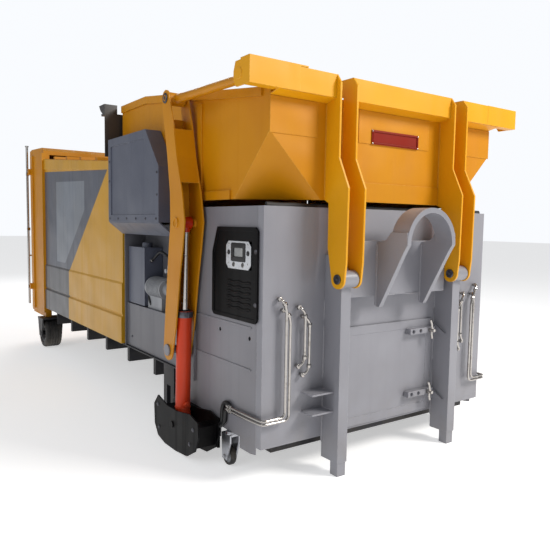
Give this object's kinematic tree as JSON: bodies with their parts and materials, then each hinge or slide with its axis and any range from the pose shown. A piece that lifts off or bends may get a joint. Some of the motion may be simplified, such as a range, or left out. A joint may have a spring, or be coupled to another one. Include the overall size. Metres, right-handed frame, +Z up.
{
  "type": "hooklift waste compactor",
  "caption": "Roll-off waste compactor: a grey press head with a hook bail carries a yellow hopper that turns over on side arms, with a closed yellow container behind.",
  "frame": {"origin": "on the ground under the middle of the whole unit", "axes": "+Z up, -Y towards the hook bail, +Y towards the rear door, X across; the control panel is on the -X side"},
  "size_m": [2.548, 6.1877, 2.7],
  "materials": {
    "grey_paint": "satin",
    "yellow_paint": "satin",
    "guard_paint": "satin",
    "dark_paint": "satin",
    "red_paint": "gloss",
    "motor_paint": "satin",
    "bright_steel": "polished",
    "pin_steel": "satin",
    "panel_black": "gloss",
    "screen_bezel": "satin",
    "button_dark": "gloss",
    "castor_zinc": "satin",
    "rubber": "matte"
  },
  "bodies": {
    "frame": {"head_front": "grey_paint", "head_side_left": "grey_paint", "head_side_right": "grey_paint", "post_left": "grey_paint", "post_right": "grey_paint", "crossbeam": "grey_paint", "hook_bail": "grey_paint", "container_left": "yellow_paint", "container_right": "yellow_paint", "container_roof": "yellow_paint", "rear_frame": "yellow_paint", "chute_guard_left": "guard_paint", "chute_guard_right": "guard_paint", "head_floor": "dark_paint", "chute_rear_wall": "dark_paint", "ram_guide": "dark_paint", "container_floor": "dark_paint", "chassis_rails": "dark_paint", "rear_axles": "dark_paint", "cylinder_bracket_left": "dark_paint", "cylinder_bracket_right": "dark_paint", "latch_brackets": "dark_paint", "control_cabinet": "dark_paint", "oil_tank": "dark_paint", "press_barrel": "red_paint", "pump_motor": "motor_paint", "valve_block": "motor_paint", "pipes_left": "bright_steel", "pipes_right": "bright_steel", "hinge_pins": "pin_steel"},
    "hopper": {"hopper_shell": "yellow_paint", "hopper_stiffeners": "yellow_paint", "lip_beam": "yellow_paint", "hinge_plates_left": "yellow_paint", "hinge_plates_right": "yellow_paint", "name_plate": "red_paint"},
    "arm_left": {"lift_arm_left": "yellow_paint"},
    "arm_right": {"lift_arm_right": "yellow_paint"},
    "tie_left": {"link_left": "yellow_paint"},
    "tie_right": {"link_right": "yellow_paint"},
    "barrel_left": {"lift_barrel_left": "red_paint"},
    "barrel_right": {"lift_barrel_right": "red_paint"},
    "rod_left": {"lift_rod_left": "bright_steel"},
    "rod_right": {"lift_rod_right": "bright_steel"},
    "ram": {"press_ram": "dark_paint"},
    "hatch": {"inspection_door": "grey_paint"},
    "clamp_top": {"clamp_upper": "grey_paint"},
    "clamp_bottom": {"clamp_lower": "grey_paint"},
    "panel_door": {"control_door": "panel_black", "screen_unit": "screen_bezel"},
    "start_button": {"button_start": "button_dark"},
    "stop_button": {"button_stop": "button_dark"},
    "castor_left": {"castor_fork_left": "castor_zinc"},
    "castor_right": {"castor_fork_right": "castor_zinc"},
    "castor_roller_left": {"castor_wheel_left": "rubber"},
    "castor_roller_right": {"castor_wheel_right": "rubber"},
    "wheel_left": {"rear_wheel_left": "rubber"},
    "wheel_right": {"rear_wheel_right": "rubber"},
    "tailgate": {"rear_door": "yellow_paint"},
    "latch": {"door_latch": "yellow_paint"}
  },
  "joints": [
    {"name": "hopper_tilt", "type": "hinge", "parent": "frame", "child": "hopper", "pos_m": [0, -2.875, 1.3], "axis": [1, 0, 0], "range_deg": [0, 177]},
    {"name": "arm_swing_left", "type": "hinge", "parent": "frame", "child": "arm_left", "pos_m": [-1.182, -1.755, 0.715], "axis": [1, 0, 0], "range_deg": [0, 81.98]},
    {"name": "tie_swing_left", "type": "hinge", "parent": "hopper", "child": "tie_left", "pos_m": [-1.182, -2.71, 2.5], "axis": [1, 0, 0], "range_deg": [-62.5, 0]},
    {"name": "cylinder_swing_left", "type": "hinge", "parent": "frame", "child": "barrel_left", "pos_m": [-1.182, -1.835, 0.182], "axis": [1, 0, 0], "range_deg": [0, 56]},
    {"name": "rod_slide_left", "type": "slide", "parent": "barrel_left", "child": "rod_left", "axis": [0, -0.0308, 0.9995], "range_m": [-0.4498, 0]},
    {"name": "arm_swing_right", "type": "hinge", "parent": "frame", "child": "arm_right", "pos_m": [1.182, -1.755, 0.715], "axis": [1, 0, 0], "range_deg": [0, 81.98]},
    {"name": "tie_swing_right", "type": "hinge", "parent": "hopper", "child": "tie_right", "pos_m": [1.182, -2.71, 2.5], "axis": [1, 0, 0], "range_deg": [-62.5, 0]},
    {"name": "cylinder_swing_right", "type": "hinge", "parent": "frame", "child": "barrel_right", "pos_m": [1.182, -1.835, 0.182], "axis": [1, 0, 0], "range_deg": [0, 56]},
    {"name": "rod_slide_right", "type": "slide", "parent": "barrel_right", "child": "rod_right", "axis": [0, -0.0308, 0.9995], "range_m": [-0.4498, 0]},
    {"name": "ram_slide", "type": "slide", "parent": "frame", "child": "ram", "axis": [0, 1, 0], "range_m": [0, 0.56]},
    {"name": "hatch_swing", "type": "hinge", "parent": "frame", "child": "hatch", "pos_m": [-0.466, -2.726, 0.6], "axis": [0, 0, 1], "range_deg": [-95, 0]},
    {"name": "clamp_top_turn", "type": "hinge", "parent": "hatch", "child": "clamp_top", "pos_m": [0.398, -2.78, 0.871], "axis": [0, -1, 0], "range_deg": [0, 90]},
    {"name": "clamp_bottom_turn", "type": "hinge", "parent": "hatch", "child": "clamp_bottom", "pos_m": [0.398, -2.78, 0.401], "axis": [0, -1, 0], "range_deg": [0, 90]},
    {"name": "panel_swing", "type": "hinge", "parent": "frame", "child": "panel_door", "pos_m": [-1.089, -2.11, 1.32], "axis": [0, 0, -1], "range_deg": [0, 100]},
    {"name": "start_press", "type": "slide", "parent": "panel_door", "child": "start_button", "axis": [1, 0, 0], "range_m": [0, 0.004], "stiffness_N_per_m": 300},
    {"name": "stop_press", "type": "slide", "parent": "panel_door", "child": "stop_button", "axis": [1, 0, 0], "range_m": [0, 0.004], "stiffness_N_per_m": 300},
    {"name": "castor_swivel_left", "type": "hinge", "parent": "frame", "child": "castor_left", "pos_m": [-1.06, -2.338, 0.2], "axis": [0, 0, 1], "continuous": true},
    {"name": "castor_roll_left", "type": "hinge", "parent": "castor_left", "child": "castor_roller_left", "pos_m": [-1.06, -2.304, 0.066], "axis": [1, 0, 0], "continuous": true},
    {"name": "wheel_roll_left", "type": "hinge", "parent": "frame", "child": "wheel_left", "pos_m": [-1.04, 2.29, 0.185], "axis": [1, 0, 0], "continuous": true},
    {"name": "castor_swivel_right", "type": "hinge", "parent": "frame", "child": "castor_right", "pos_m": [1.06, -2.338, 0.2], "axis": [0, 0, 1], "continuous": true},
    {"name": "castor_roll_right", "type": "hinge", "parent": "castor_right", "child": "castor_roller_right", "pos_m": [1.06, -2.304, 0.066], "axis": [1, 0, 0], "continuous": true},
    {"name": "wheel_roll_right", "type": "hinge", "parent": "frame", "child": "wheel_right", "pos_m": [1.04, 2.29, 0.185], "axis": [1, 0, 0], "continuous": true},
    {"name": "tailgate_swing", "type": "hinge", "parent": "frame", "child": "tailgate", "pos_m": [1.136, 2.962, 1.5], "axis": [0, 0, -1], "range_deg": [0, 100]},
    {"name": "latch_turn", "type": "hinge", "parent": "tailgate", "child": "latch", "pos_m": [-1.12, 3.056, 1.5], "axis": [0, 0, 1], "range_deg": [0, 60]}
  ],
  "couplings": [
    {"joint": "arm_swing_left", "follows": "hopper_tilt", "ratio": 0.46311},
    {"joint": "tie_swing_left", "follows": "hopper_tilt", "ratio": -0.35291},
    {"joint": "cylinder_swing_left", "follows": "hopper_tilt", "ratio": 0.31629},
    {"joint": "rod_slide_left", "follows": "hopper_tilt", "m_per_rad": -0.14555},
    {"joint": "arm_swing_right", "follows": "hopper_tilt", "ratio": 0.46311},
    {"joint": "tie_swing_right", "follows": "hopper_tilt", "ratio": -0.35291},
    {"joint": "cylinder_swing_right", "follows": "hopper_tilt", "ratio": 0.31629},
    {"joint": "rod_slide_right", "follows": "hopper_tilt", "m_per_rad": -0.14555}
  ]
}
